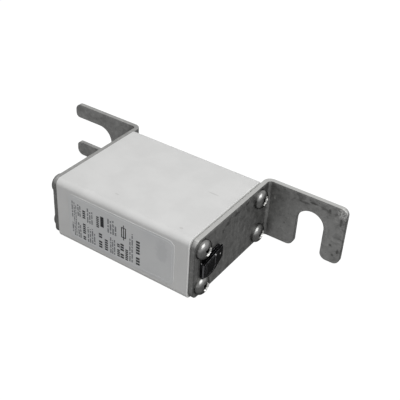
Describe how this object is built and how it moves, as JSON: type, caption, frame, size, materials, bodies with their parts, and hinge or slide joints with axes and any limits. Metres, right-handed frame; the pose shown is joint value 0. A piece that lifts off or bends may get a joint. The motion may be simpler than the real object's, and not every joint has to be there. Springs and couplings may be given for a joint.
{
  "type": "square-body fuse-link",
  "caption": "Square ceramic fuse-link for fast switchgear: bent slotted blade tabs on 80 mm centres, pan-head plate screws and a black trip indicator with switch adaptor",
  "frame": {"origin": "centre of the underside of the whole part, on the plane of the body's lower face", "axes": "+X along the terminals towards the tab whose slot opens sideways and the trip indicator, +Y towards the mounting faces of the tabs, -Y the label side, +Z out of the top face"},
  "size_m": [0.102, 0.041, 0.0208],
  "materials": {
    "ceramic": "fired, unglazed, smooth",
    "plated_copper": "plated sheet copper, dull grey, lightly scuffed",
    "gasket_fibre": "pressed fibre sheet",
    "screw_steel": "nickel-plated steel, bright",
    "copper": "bare copper bar",
    "silver": "rolled silver strip",
    "sand": "packed quartz sand",
    "plug_metal": "pressed aluminium",
    "label_film": "satin film label, printed in dark grey",
    "black_polyamide": "glass-filled moulding, black, satin",
    "pin_steel": "turned steel",
    "spring_steel": "drawn wire",
    "brass": "drawn tube and turned bush"
  },
  "bodies": {
    "fuse_link": {"ceramic_body": "ceramic", "side_slot_plate": "plated_copper", "end_slot_plate": "plated_copper", "side_gasket": "gasket_fibre", "end_gasket": "gasket_fibre", "side_plate_screws": "screw_steel", "end_plate_screws": "screw_steel", "side_contact_bar": "copper", "end_contact_bar": "copper", "fuse_element_upper": "silver", "fuse_element_middle": "silver", "fuse_element_lower": "silver", "quartz_sand": "sand", "filling_plug": "plug_metal", "rating_label": "label_film", "switch_adaptor": "black_polyamide", "trip_spring": "spring_steel", "spring_sleeve": "brass", "spring_seat": "pin_steel", "trip_wire": "spring_steel", "wire_anchor": "brass"},
    "trip_indicator": {"trip_button": "black_polyamide", "trip_pin": "pin_steel"}
  },
  "joints": [
    {"name": "trip_slide", "type": "slide", "parent": "fuse_link", "child": "trip_indicator", "axis": [1, 0, 0], "range_m": [0, 0.004], "deforming": ["trip_spring"]}
  ]
}
